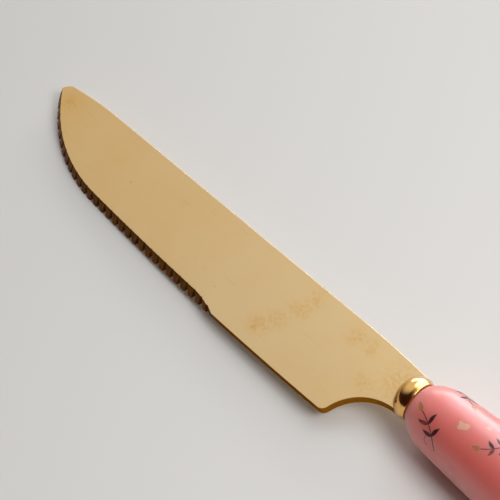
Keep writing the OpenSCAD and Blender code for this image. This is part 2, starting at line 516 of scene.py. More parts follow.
@dataclass(frozen=True)
class PolishedGoldPlate:
    """Turned brass, buffed bright, gold plated and lacquered.

    The eye sees a warm mirror with soft edges to its reflections, under the whiter shine of the
    lacquer.
    """

    # Patches where handling wore the plating, by their size
    colours: Mottle = Mottle("#ecb446", "#e2a63a", Pattern(2.5, 4.0))
    # Where the plating is untouched and where it is worn
    roughness: Point = (0.15, 0.18)
    lacquer_ior: float = 1.9
    lacquer_roughness: float = 0.16

    def build(self) -> Material:
        """Builds the material.

        Returns:
            The material.
        """
        material, tree = new_material("polished_gold_plate")
        place = add_node(tree, "ShaderNodeTexCoord").outputs["Object"]
        tint, wear = self.colours.add(tree, place)
        smooth, rough = self.roughness
        roughness = add_node(
            tree,
            "ShaderNodeMapRange",
            {"Value": wear, "From Min": 0.3, "From Max": 0.7, "To Min": smooth, "To Max": rough},
        )
        shader = add_node(
            tree,
            "ShaderNodeBsdfPrincipled",
            {
                "Base Color": tint,
                "Metallic": 1.0,
                "Roughness": roughness,
                "Coat Weight": 1.0,
                "Coat Roughness": self.lacquer_roughness,
                "Coat IOR": self.lacquer_ior,
            },
        )
        close_material(tree, shader)
        return material


@dataclass(frozen=True)
class PinkGlazedPorcelain:
    """Slip cast porcelain under a pink glaze, with a thin pearl lustre fired over it.

    The glaze pools a little unevenly, so its colour drifts, and light that enters it comes out
    again close by, which softens the shade. The lustre reflects more than glass does, so the sky
    lays a broad, pale veil over the pink.
    """

    # Pools of glaze, by their size
    colours: Mottle = Mottle("#ee7f76", "#e96c63", Pattern(22.0, levels=(0.3, 0.7), values=(0.15, 0.75)))
    roughness: float = 0.36
    glaze_ior: float = 1.75
    lustre: float = 0.7
    lustre_roughness: float = 0.45
    lustre_tint: str = "#fff2f0"
    # How far light spreads in the body, in millimetres, and each colour's share of that
    glow_mm: float = 3.0
    glow_shares: Place = (1.0, 0.3, 0.22)
    ripple_mm: float = 7.0
    ripple_deep: float = 0.12

    def build(self) -> Material:
        """Builds the material.

        Returns:
            The material.
        """
        material, tree = new_material("pink_glazed_porcelain")
        place = add_node(tree, "ShaderNodeTexCoord").outputs["Object"]
        tint, _ = self.colours.add(tree, place)
        ripple = add_node(
            tree,
            "ShaderNodeTexNoise",
            {"Vector": place, "Scale": per_metre(self.ripple_mm), "Detail": 1.0},
        )
        bump = add_node(
            tree,
            "ShaderNodeBump",
            {"Strength": 0.25, "Distance": self.ripple_deep * MM, "Height": ripple},
        )
        shader = add_node(
            tree,
            "ShaderNodeBsdfPrincipled",
            {
                "Base Color": tint,
                "Roughness": self.roughness,
                "IOR": self.glaze_ior,
                "Sheen Weight": self.lustre,
                "Sheen Roughness": self.lustre_roughness,
                "Sheen Tint": linear(self.lustre_tint),
                "Subsurface Weight": 1.0,
                "Subsurface Radius": self.glow_shares,
                "Subsurface Scale": self.glow_mm * MM,
                "Normal": bump,
            },
        )
        close_material(tree, shader)
        return material


@dataclass(frozen=True)
class FiredInk:
    """A ceramic colour that was printed on the glaze and fired in.

    It is as glossy as the glaze and keeps the print's fine, uneven grain.
    """

    name: str
    colour: str
    thin: str
    # How far the print stands over the glaze, in millimetres
    rise: float
    roughness: float = 0.32
    ior: float = 1.5
    grain_mm: float = 0.9

    def build(self) -> Material:
        """Builds the material.

        Returns:
            The material.
        """
        material, tree = new_material(self.name)
        place = add_node(tree, "ShaderNodeTexCoord").outputs["Object"]
        grain = Mottle(self.colour, self.thin, Pattern(self.grain_mm, 4.0, levels=(0.4, 0.72)))
        tint, _ = grain.add(tree, place)
        shader = add_node(
            tree,
            "ShaderNodeBsdfPrincipled",
            {"Base Color": tint, "Roughness": self.roughness, "IOR": self.ior},
        )
        close_material(tree, shader)
        return material


@dataclass(frozen=True)
class CastResin:
    """Mineral filled epoxy, poured round the tang and left as it set, matt and speckled."""

    # Grains of the mineral, by their size
    colours: Mottle = Mottle("#c9c2b3", "#8f8878", Pattern(0.8, 6.0, 0.7))
    roughness: float = 0.8
    grain_deep: float = 0.1

    def build(self) -> Material:
        """Builds the material.

        Returns:
            The material.
        """
        material, tree = new_material("cast_resin")
        place = add_node(tree, "ShaderNodeTexCoord").outputs["Object"]
        tint, grain = self.colours.add(tree, place)
        bump = add_node(
            tree,
            "ShaderNodeBump",
            {"Strength": 0.5, "Distance": self.grain_deep * MM, "Height": grain},
        )
        shader = add_node(
            tree,
            "ShaderNodeBsdfPrincipled",
            {"Base Color": tint, "Roughness": self.roughness, "Normal": bump},
        )
        close_material(tree, shader)
        return material


@dataclass(frozen=True)
class PaleTable:
    """A table top of plain, pale and matt paint, which takes soft shadows and shows no shine."""

    colour: str = "#e8e7e4"
    roughness: float = 0.9
    shine: float = 0.1

    def build(self) -> Material:
        """Builds the material.

        Returns:
            The material.
        """
        material, tree = new_material("pale_table")
        colour = linear(self.colour)
        shader = add_node(
            tree,
            "ShaderNodeBsdfPrincipled",
            {"Base Color": colour, "Roughness": self.roughness, "Specular IOR Level": self.shine},
        )
        close_material(tree, shader)
        return material


def crossing(a: Vector, ra: float, b: Vector, rb: float) -> Vector:
    """Finds where two circles cross.

    Args:
        a: Centre of one circle.
        ra: Its radius.
        b: Centre of the other.
        rb: Its radius.

    Returns:
        The crossing on the left of the way from a to b.
    """
    apart = (b - a).length
    ahead = (b - a) / apart
    along = (ra * ra - rb * rb + apart * apart) / (2 * apart)
    aside = math.sqrt(ra * ra - along * along)
    return a + along * ahead + aside * Vector((-ahead.y, ahead.x))


def on_arc(centre: Vector, radius: float, toward: Vector) -> Vector:
    """Returns where the way from a circle's centre to a point meets the circle."""
    return centre + radius * (toward - centre).normalized()


def band(mesh: BMesh, one: list[BMVert], two: list[BMVert]) -> list[BMFace]:
    """Joins two rings of corners by faces.

    Args:
        mesh: The mesh.
        one: One ring, which is a single corner where it is a pole.
        two: The other ring.

    Returns:
        The faces, in the order of the rings.
    """
    count = max(len(one), len(two))
    faces = []
    for i in range(count):
        j = (i + 1) % count
        corners = (one[i % len(one)], one[j % len(one)], two[j % len(two)], two[i % len(two)])
        corners = tuple(dict.fromkeys(corners))
        if len(corners) > 2:
            faces.append(mesh.faces.new(corners))
    return faces


def placed(name: str, data: bpy.types.ID) -> Object:
    """Adds an object to the scene.

    Args:
        name: The object's name.
        data: Its mesh, lamp or camera.

    Returns:
        The object, at the origin.
    """
    made = bpy.data.objects.new(name, data)
    bpy.context.scene.collection.objects.link(made)
    return made


def meshed(mesh: BMesh, name: str) -> Object:
    """Makes a mesh an object.

    Args:
        mesh: The mesh, in metres, which is freed.
        name: The object's name.

    Returns:
        The object, at the origin.
    """
    data = bpy.data.meshes.new(name)
    mesh.to_mesh(data)
    mesh.free()
    return placed(name, data)


def finished(mesh: BMesh, name: str) -> Object:
    """Lays a mesh down from the knife's own axis and makes it an object.

    Args:
        mesh: The mesh, in millimetres, which is freed.
        name: The object's name.

    Returns:
        The object, at the origin.
    """
    bmesh.ops.transform(mesh, matrix=LAY.matrix(), verts=mesh.verts)
    made = meshed(mesh, name)
    made.data.set_sharp_from_angle(angle=math.radians(SHARP))
    return made


def ridden(piece: Object, node: str | None) -> Object:
    """Ties a piece to the frame.

    Args:
        piece: The piece.
        node: The node that it stands for, if it does.

    Returns:
        The piece.
    """
    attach(piece, "root")
    if node:
        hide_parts(node)
    LOG.info("%s: %d faces", piece.name, len(piece.data.polygons))
    return piece


@dataclass(frozen=True)
class Station:
    """One place on the blade's outline, with the way in from it to the steel."""

    point: Vector
    inward: Vector
    side: Side


@dataclass(frozen=True)
class Tooth:
    """One tooth of the edge with the notch behind it, in millimetres."""

    x: float
    # How long a step along the edge is along X
    shrink: float
    bevel_wide: float
    notch_deep: float
    flank_long: float


@dataclass
class Blade:
    """The toothed blade with its tang, in millimetres."""

    reach: float = 153.7
    thick: float = 2.8
    wide: float = 25.3
    spine_high: float = 6.7
    widest_at: float = 52.4
    edge_arc: float = 1320.0
    belly_arc: float = 58.5
    drop_arc: float = 133.0
    drop_long: float = 22.2
    tip_round: float = 3.5
    neck_wide: float = 11.3
    shoulder_long: float = 25.0
    choil_arc: float = 13.5
    choil_at: float = 2.2
    heel_round: float = 2.0
    bevel_wide: float = 1.75
    edge_land: float = 0.25
    bevel_long: float = 86.0
    runout_arc: float = 25.0
    tooth_pitch: float = 3.2
    first_tooth: float = 3.05
    notch_deep: float = 1.1
    notch_long: float = 1.8
    notch_past: float = 0.12
    # Length of a notch's steep flank, worn round by the wheel
    flank_worn: float = 0.5
    root_share: float = 0.1
    toothed_share: float = 0.8
    tang_long: float = 72.0
    tang_wide: float = 7.0
    tang_end_wide: float = 4.6
    tang_thick: float = 2.2
    # How far the tang reaches into the blade
    tang_lap: float = 4.0
    bead_at: float = 1.6
    # Radius that the tumbler gives the sheet's rims, that of the ground face's upper rim, and that
    # of the cutting edge's lower rim
    rim_round: float = 0.08
    bevel_rim: float = 0.14
    edge_rim: float = 0.05
    # Share of the upper rim's height that has the faces' finish
    satin_share: float = 0.4
    # The tip's rounding is ground up to this Y
    ground_high: float = 1.5
    # Flat border round a face
    cap_border: float = 0.06
    # Longest steps along an arc, a straight and a notch, and the shortest one
    arc_step: float = 0.8
    straight_step: float = 2.4
    notch_step: float = 0.08
    least_step: float = 0.015
    # Largest turn between two stations on an arc, in radians
    arc_turn: float = 0.12
    # Steps in a rim's rounding and in the side between the rims
    rim_steps: int = 4
    side_steps: int = 8

    def __post_init__(self) -> None:
        """Works out the centres of the outline's arcs, where they meet, and the teeth."""
        tip_x = -self.reach
        self.edge_c = Vector((-self.widest_at, self.spine_high - self.wide + self.edge_arc))
        self.drop_start = Vector((tip_x + self.drop_long, self.spine_high))
        self.drop_c = self.drop_start - Vector((0, self.drop_arc))
        rise = math.sqrt((self.drop_arc - self.tip_round) ** 2 - (self.drop_long - self.tip_round) ** 2)
        self.tip_c = Vector((tip_x + self.tip_round, self.drop_c.y + rise))
        self.belly_c = crossing(
            self.edge_c, self.edge_arc - self.belly_arc, self.tip_c, self.belly_arc - self.tip_round
        )
        half = self.neck_wide / 2
        fall = self.spine_high - half
        self.shoulder_arc = (self.shoulder_long**2 + fall**2) / (2 * fall)
        self.shoulder_start = Vector((-self.bead_at - self.shoulder_long, self.spine_high))
        self.shoulder_end = Vector((-self.bead_at, half))
        self.shoulder_c = self.shoulder_start - Vector((0, self.shoulder_arc))
        self.neck_low = Vector((-self.choil_at, -half))
        self.choil_c = self.neck_low - Vector((0, self.choil_arc))
        self.heel_c = crossing(
            self.choil_c, self.choil_arc + self.heel_round, self.edge_c, self.edge_arc - self.heel_round
        )
        self.tip_drop = on_arc(self.drop_c, self.drop_arc, self.tip_c)
        self.tip_belly = on_arc(self.belly_c, self.belly_arc, self.tip_c)
        self.belly_edge = on_arc(self.edge_c, self.edge_arc, self.belly_c)
        self.edge_heel = on_arc(self.edge_c, self.edge_arc, self.heel_c)
        self.heel_choil = on_arc(self.heel_c, self.heel_round, self.choil_c)
        self.runout_x = tip_x + self.bevel_long
        self.runout_long = math.sqrt(self.runout_arc**2 - (self.runout_arc - self.bevel_wide) ** 2)
        self.root_long = self.root_share * self.notch_long
        self.teeth = self._laid_teeth()

    def _edge(self, x: float) -> tuple[Vector, float]:
        """Returns the centre and radius of the edge's arc at an X."""
        on_belly = x < self.belly_edge.x
        return (self.belly_c, self.belly_arc) if on_belly else (self.edge_c, self.edge_arc)

    def _edge_point(self, x: float) -> Vector:
        """Returns the edge's point at an X."""
        centre, radius = self._edge(x)
        return Vector((x, centre.y - math.sqrt(radius**2 - (x - centre.x) ** 2)))

    def _laid_teeth(self) -> list[Tooth]:
        """Lays the teeth along the edge, with notches that shrink as the bevel runs out.

        Returns:
            The teeth, from the tip on.
        """
        # Keeps a notch from closing up where the edge turns steeply to the tip
        least_square = 0.05
        span = self.bevel_long + self.toothed_share * self.runout_long - self.first_tooth
        teeth = []
        for i in range(math.floor(span / self.tooth_pitch) + 1):
            x = -self.reach + self.first_tooth + i * self.tooth_pitch
            centre, radius = self._edge(x)
            slope = abs(centre.x - x) / radius
            shrink = math.sqrt(max(1 - slope**2, least_square))
            wide = self.bevel_wide
            if x >= self.runout_x:
                over = x - self.runout_x
                wide += math.sqrt(self.runout_arc**2 - over**2) - self.runout_arc
            share = wide / self.bevel_wide
            teeth.append(Tooth(x, shrink, wide, self.notch_deep * share, self.flank_worn * share))
        return teeth

    def _arc(
        self,
        centre: Vector,
        radius: float,
        start: Vector,
        end: Vector,
        side: Side = Side.PLAIN,
        hollow: bool = False,
    ) -> list[Station]:
        """Lays stations along an arc of the outline.

        Args:
            centre: The arc's centre.
            radius: Its radius.
            start: Where it starts.
            end: Where it ends, left out.
            side: Whether the wheel ground it.
            hollow: Whether the steel is outside the circle.

        Returns:
            The stations.
        """
        a = math.atan2(start.y - centre.y, start.x - centre.x)
        b = math.atan2(end.y - centre.y, end.x - centre.x)
        sweep = (b - a + math.pi) % (2 * math.pi) - math.pi
        turn = abs(sweep)
        steps = max(2, math.ceil(turn * radius / self.arc_step), math.ceil(turn / self.arc_turn))
        stations = []
        for i in range(steps):
            angle = a + sweep * i / steps
            out = Vector((math.cos(angle), math.sin(angle)))
            stations.append(Station(centre + radius * out, out if hollow else -out, side))
        return stations

    def _line(self, start: Vector, end: Vector) -> list[Station]:
        """Lays stations along a straight of the outline.

        Args:
            start: Where it starts.
            end: Where it ends, left out.

        Returns:
            The stations.
        """
        along = (end - start).normalized()
        steps = math.ceil((end - start).length / self.straight_step)
        inward = Vector((-along.y, along.x))
        return [Station(start.lerp(end, i / steps), inward, Side.PLAIN) for i in range(steps)]

    def _toothed_xs(self) -> list[float]:
        """Chooses where the ground stretch of the edge has stations, close together in a notch.

        Returns:
            The X of each, from the tip to past where the bevel has run out.
        """
        lead, past, decimals = 0.01, 1.0, 4
        # The slant of a notch takes it this far past its length on the upper side
        notch_past = 0.6
        x = self.tip_belly.x + lead
        last = self.runout_x + self.runout_long + past
        xs = {x, self.belly_edge.x, last}
        while x < last:
            xs.add(round(x, decimals))
            x += self.arc_step / 2
        for tooth in self.teeth:
            flank, root = tooth.flank_long, self.root_long
            steps = [flank / 2, flank, flank + root / 2, flank + root, self.notch_long]
            along = 0.0
            while along < self.notch_long + notch_past:
                steps.append(along)
                along += self.notch_step
            xs.update(round(tooth.x + step * tooth.shrink, decimals) for step in steps)
        ordered = sorted(x for x in xs if x > self.tip_belly.x)
        kept = [ordered[0]]
        for x in ordered[1:]:
            if x - kept[-1] > self.least_step:
                kept.append(x)
        return kept

    def stations(self) -> list[Station]:
        """Lays stations all round the outline, from the neck along the spine to the tip and back.

        Returns:
            The stations.
        """
        around = self._arc(self.shoulder_c, self.shoulder_arc, self.shoulder_end, self.shoulder_start)
        around += self._line(self.shoulder_start, self.drop_start)
        around += self._arc(self.drop_c, self.drop_arc, self.drop_start, self.tip_drop)
        around += self._arc(self.tip_c, self.tip_round, self.tip_drop, self.tip_belly, Side.GROUND)
        xs = self._toothed_xs()
        for x in xs:
            centre, _ = self._edge(x)
            point = self._edge_point(x)
            around.append(Station(point, (centre - point).normalized(), Side.GROUND))
        runout_end = self._edge_point(xs[-1])
        around += self._arc(self.edge_c, self.edge_arc, runout_end, self.edge_heel)[1:]
        around += self._arc(self.heel_c, self.heel_round, self.edge_heel, self.heel_choil)
        around += self._arc(self.choil_c, self.choil_arc, self.heel_choil, self.neck_low, hollow=True)
        corner = Vector((-self.bead_at, -self.neck_wide / 2))
        around += self._line(self.neck_low, corner)
        around += self._line(corner, self.shoulder_end)
        return around

    def _ground(self, station: Station, height: float) -> float:
        """Finds how far the wheel cut in from the outline.

        Args:
            station: The place on the outline.
            height: Height over the blade's back.

        Returns:
            The depth of the cut along the station's inward way, or 0.
        """
        share = (height - self.edge_land) / (self.thick - self.edge_land)
        if share <= 0 or station.side is Side.PLAIN:
            return 0.0
        x = station.point.x
        if x > self.runout_x:
            over = x - self.runout_x
            radius = self.runout_arc - self.bevel_wide + self.bevel_wide * share
            if over >= radius:
                return 0.0
            return max(0.0, math.sqrt(radius**2 - over**2) - (self.runout_arc - self.bevel_wide))
        if x > self.belly_edge.x:
            return self.bevel_wide * share
        radius = self.belly_arc - self.bevel_wide * share
        off = station.point - self.belly_c
        if off.length <= radius:
            return 0.0
        toward = off.dot(station.inward)
        under = toward**2 - (off.length_squared - radius**2)
        return max(0.0, -toward - math.sqrt(max(under, 0.0)))

    def _notch(self, tooth: Tooth, x: float, height: float) -> float:
        """Finds how deep the notch behind a tooth is.

        Args:
            tooth: The tooth.
            x: Where along the knife, behind the tooth's tip.
            height: Height over the blade's back.

        Returns:
            The depth, or 0 past the notch.
        """
        # The slant lets the ramp go on below the outline, down to this share of the depth
        lowest = -0.9
        along = (x - tooth.x) / tooth.shrink
        past_root = along - tooth.flank_long - self.root_long
        if along < tooth.flank_long:
            rise = along / tooth.flank_long
            share = rise * rise * (3 - 2 * rise)
        elif past_root < 0:
            share = 1.0
        else:
            share = 1 - past_root / (self.notch_long - tooth.flank_long - self.root_long)
        if share <= lowest:
            return 0.0
        slant = (tooth.bevel_wide + self.notch_past - tooth.notch_deep) * height / self.thick
        return tooth.notch_deep * share + slant

    def _notched(self, station: Station, height: float) -> float:
        """Finds how far a notch cuts in from the outline.

        Args:
            station: The place on the outline.
            height: Height over the blade's back.

        Returns:
            The depth of the cut, or 0 between notches.
        """
        if station.side is Side.PLAIN or station.point.y > 0:
            return 0.0
        x = station.point.x
        behind = [t for t in self.teeth if t.x < x < t.x + self.tooth_pitch]
        return max([0.0, *[self._notch(tooth, x, height) for tooth in behind]])

    def _levels(self) -> list[float]:
        """Chooses the heights over the back at which the sides have a row of corners.

        Returns:
            The heights, from the back up.
        """
        angles = [math.radians(90 * i / self.rim_steps) for i in range(self.rim_steps + 1)]
        low = [self.rim_round * (1 - math.cos(a)) for a in angles]
        high = [self.thick - h for h in reversed(low)]
        gap = high[0] - low[-1]
        middle = [low[-1] + gap * i / self.side_steps for i in range(1, self.side_steps)]
        return low + middle + high

    def _offset(self, station: Station, height: float) -> float:
        """Finds how far in from the outline the side is.

        Args:
            station: The place on the outline.
            height: Height over the blade's back.

        Returns:
            The distance along the station's inward way.
        """
        from_back, from_face = height, self.thick - height
        near = min(from_back, from_face)
        ground = max(self._ground(station, height), self._notched(station, height))
        on_edge = station.side is Side.GROUND and station.point.y < 0
        radius = self.edge_rim if on_edge and from_back < from_face else self.rim_round
        rim = 0.0
        if near < radius:
            rim = radius - math.sqrt(radius**2 - (radius - near) ** 2)
        if ground > 0 and from_face < self.bevel_rim:
            share = 1 - from_face / self.bevel_rim
            return max(rim, ground + self.bevel_rim * share**2)
        return max(rim, ground)

    def build(self) -> Object:
        """Builds the blade and dresses it.

        Returns:
            The blade's object.
        """
        stations = self.stations()
        levels = self._levels()
        mesh = bmesh.new()
        rows = []
        for height in levels:
            row = []
            for station in stations:
                p = station.point + station.inward * self._offset(station, height)
                row.append(mesh.verts.new((p.x, p.y, height - self.thick / 2)))
            rows.append(row)
        for height, low, high in zip(levels, rows, rows[1:]):
            on_rim = height > self.thick - self.satin_share * self.rim_round
            for station, quad in zip(stations, band(mesh, high, low)):
                ground = station.side is Side.GROUND and station.point.y < self.ground_high
                face = Face.GROUND if ground else Face.BLANKED
                quad.material_index = (Face.SATIN if on_rim else face).value
                quad.smooth = True
        self._add_cap(mesh, stations, rows[0])
        self._add_cap(mesh, stations, rows[-1])
        self._add_tang(mesh)
        bmesh.ops.recalc_face_normals(mesh, faces=mesh.faces)
        blade = finished(mesh, "blade_coated")
        for finish in (SatinGoldSteel(), WheelGroundGoldSteel(), BlankedGoldSteel()):
            blade.data.materials.append(finish.build())
        return ridden(blade, "blade")

    def _add_cap(self, mesh: BMesh, stations: list[Station], row: list[BMVert]) -> None:
        """Closes a flat face of the blade, in the first finish.

        A narrow flat border keeps the rim's rounding out of the face's shading.

        Args:
            mesh: The blade's mesh.
            stations: The stations round the outline.
            row: The corners round the face, one for each station.
        """
        inner = []
        for station, corner in zip(stations, row):
            p = corner.co.xy + station.inward * self.cap_border
            inner.append(mesh.verts.new((p.x, p.y, corner.co.z)))
        for border in band(mesh, row, inner):
            border.smooth = True
        mesh.faces.new(inner)

    def _add_tang(self, mesh: BMesh) -> None:
        """Adds the tang, from inside the blade's neck to its round end in the handle.

        Args:
            mesh: The blade's mesh.
        """
        half, end_half = self.tang_wide / 2, self.tang_end_wide / 2
        end_x = self.tang_long - end_half
        outline = [(-self.tang_lap, -half), (0, -half)]
        outline += arc_profile((end_x, 0), end_half, -90, 90, 12)
        outline += [(0, half), (-self.tang_lap, half)]
        low, high = [
            [mesh.verts.new((x, y, z)) for x, y in outline]
            for z in (-self.tang_thick / 2, self.tang_thick / 2)
        ]
        for wall in band(mesh, low, high):
            wall.material_index = Face.BLANKED.value
        mesh.faces.new(low[::-1])
        mesh.faces.new(high)


def lathe(profile: list[Point], segments: int, closed: bool) -> BMesh:
    """Turns a profile round the knife's axis.

    Args:
        profile: X and radius of each point, in millimetres.
        segments: Steps round the axis.
        closed: Whether the profile's end joins its start.

    Returns:
        The mesh.
    """
    pole = 1e-6
    angles = [2 * math.pi * i / segments for i in range(segments)]
    mesh = bmesh.new()
    rings = []
    for x, radius in profile:
        if radius < pole:
            rings.append([mesh.verts.new((x, 0, 0))])
        else:
            ring = [(x, radius * math.cos(a), radius * math.sin(a)) for a in angles]
            rings.append([mesh.verts.new(place) for place in ring])
    ends = [(rings[-1], rings[0])] if closed else []
    for one, two in [*zip(rings, rings[1:]), *ends]:
        for face in band(mesh, one, two):
            face.smooth = True
    bmesh.ops.recalc_face_normals(mesh, faces=mesh.faces)
    return mesh


def arc_profile(centre: Point, radius: float, start: float, end: float, steps: int) -> list[Point]:
    """Lays points on an arc.

    Args:
        centre: The arc's centre.
        radius: Its radius.
        start: Angle at which it starts, in degrees from +X.
        end: Angle at which it ends.
        steps: Number of steps.

    Returns:
        The points, both ends among them.
    """
    angles = [math.radians(start + (end - start) * i / steps) for i in range(steps + 1)]
    return [(centre[0] + radius * math.cos(a), centre[1] + radius * math.sin(a)) for a in angles]


@dataclass
class Ferrule:
    """The turned bead with its lip and spigot, in millimetres."""

    bead_radius: float = 6.0
    bead_round: float = 3.8
    bead_at: float = 1.6
    lip_radius: float = 5.7
    lip_thick: float = 1.0
    lip_round: float = 0.25
    spigot_radius: float = 4.3
    spigot_long: float = 3.4
    # The fine crease between bead and lip, and how far its floor stands over the lip
    crease_long: float = 0.4
    crease_high: float = 0.02
    bead_steps: int = 40
    lip_steps: int = 6
    segments: int = 160

    def _profile(self) -> list[Point]:
        """Draws the profile from the front of the bead to the end of the spigot.

        Returns:
            X and radius of each point.
        """
        flat = self.bead_radius - self.bead_round
        back = math.degrees(math.acos((self.bead_at - self.lip_thick) / self.bead_round))
        inner = self.lip_radius - self.lip_round
        return [
            (-self.bead_at - self.bead_round, 0.0),
            *arc_profile((-self.bead_at, flat), self.bead_round, 180, back, self.bead_steps),
            (-self.lip_thick + self.crease_long, self.lip_radius + self.crease_high),
            *arc_profile((-self.lip_round, inner), self.lip_round, 90, 0, self.lip_steps),
            (0.0, self.spigot_radius),
            (self.spigot_long, self.spigot_radius),
            (self.spigot_long, 0.0),
        ]

    def build(self) -> Object:
        """Builds the ferrule and dresses it.

        Returns:
            The ferrule's object.
        """
        ferrule = finished(lathe(self._profile(), self.segments, closed=False), "ferrule_plated")
        ferrule.data.materials.append(PolishedGoldPlate().build())
        return ridden(ferrule, "ferrule")


@dataclass
class Handle:
    """The hollow porcelain barrel, in millimetres."""

    long: float = 108.0
    radius: float = 9.9
    widest_at: float = 41.0
    front_arc: float = 430.0
    rear_arc: float = 650.0
    nose_arc: float = 12.3
    seat_radius: float = 5.1
    # Rounding of the seat's rim, and how far back the nose's first ring lies
    seat_round: float = 0.15
    seat_back: float = 0.12
    wall: float = 3.2
    mouth: float = 4.4
    socket_end: float = 3.6
    # Steps in each stretch of the profile, and how much those of the nose crowd to its seat
    nose_steps: int = 28
    nose_crowding: float = 1.4
    front_steps: int = 24
    rear_steps: int = 36
    butt_steps: int = 24
    segments: int = 192

    def __post_init__(self) -> None:
        """Works out the centres of the profile's arcs, as X and radius, and where they meet."""
        seat = Vector((0, self.seat_radius))
        self.front_c = Vector((self.widest_at, self.radius - self.front_arc))
        self.rear_c = Vector((self.widest_at, self.radius - self.rear_arc))
        self.nose_c = crossing(seat, self.nose_arc, self.front_c, self.front_arc - self.nose_arc)
        left = self.rear_arc - self.long
        self.butt_x = (self.widest_at**2 + self.rear_c.y**2 - left**2) / (2 * (self.widest_at + left))
        self.butt_round = self.long - self.butt_x
        self.nose_end = on_arc(self.front_c, self.front_arc, self.nose_c)
        self.butt_start = on_arc(self.rear_c, self.rear_arc, Vector((self.butt_x, 0)))

    def radius_at(self, x: float) -> float:
        """Finds the barrel's radius.

        Args:
            x: Where along the knife.

        Returns:
            The radius.
        """
        if x < self.nose_end.x:
            centre, radius = self.nose_c, self.nose_arc
        elif x < self.widest_at:
            centre, radius = self.front_c, self.front_arc
        elif x < self.butt_start.x:
            centre, radius = self.rear_c, self.rear_arc
        else:
            centre, radius = Vector((self.butt_x, 0)), self.butt_round
        return centre.y + math.sqrt(max(radius**2 - (x - centre.x) ** 2, 0.0))

    def _barrel(self, inset: float) -> list[Point]:
        """Draws the profile from the end of the nose to the butt's pole.

        Args:
            inset: How far it is drawn in.

        Returns:
            X and radius of each point.
        """
        found = []
        for start, end, steps in (
            (self.nose_end.x, self.widest_at, self.front_steps),
            (self.widest_at, self.butt_start.x, self.rear_steps),
        ):
            xs = [start + (end - start) * i / steps for i in range(steps)]
            found += [(x, self.radius_at(x) - inset) for x in xs]
        turn = math.degrees(math.atan2(self.butt_start.y, self.butt_start.x - self.butt_x))
        found += arc_profile((self.butt_x, 0.0), self.butt_round - inset, turn, 0, self.butt_steps)
        found[-1] = (found[-1][0], 0.0)
        return found

    def _profile(self) -> list[Point]:
        """Draws the profile from the mouth over the outside to the hollow and back.

        Returns:
            X and radius of each point.
        """
        nose_long = self.nose_end.x - self.seat_back
        shares = [(i / self.nose_steps) ** self.nose_crowding for i in range(self.nose_steps)]
        nose = [self.seat_back + nose_long * share for share in shares]
        return [
            (0.0, self.mouth),
            (0.0, self.seat_radius - self.seat_round),
            *[(x, self.radius_at(x)) for x in nose],
            *self._barrel(0.0),
            *self._barrel(self.wall)[::-1],
            (self.socket_end, self.mouth),
        ]

    def build(self) -> Object:
        """Builds the handle and dresses it.

        Returns:
            The handle's object.
        """
        handle = finished(lathe(self._profile(), self.segments, closed=True), "handle_glazed")
        handle.data.materials.append(PinkGlazedPorcelain().build())
        return ridden(handle, "handle")


@dataclass(frozen=True)
class Spot:
    """Where a motif sits on the barrel: its X, its angle round the axis in degrees and its turn."""

    x: float
    degrees: float
    turn: float = 0.0


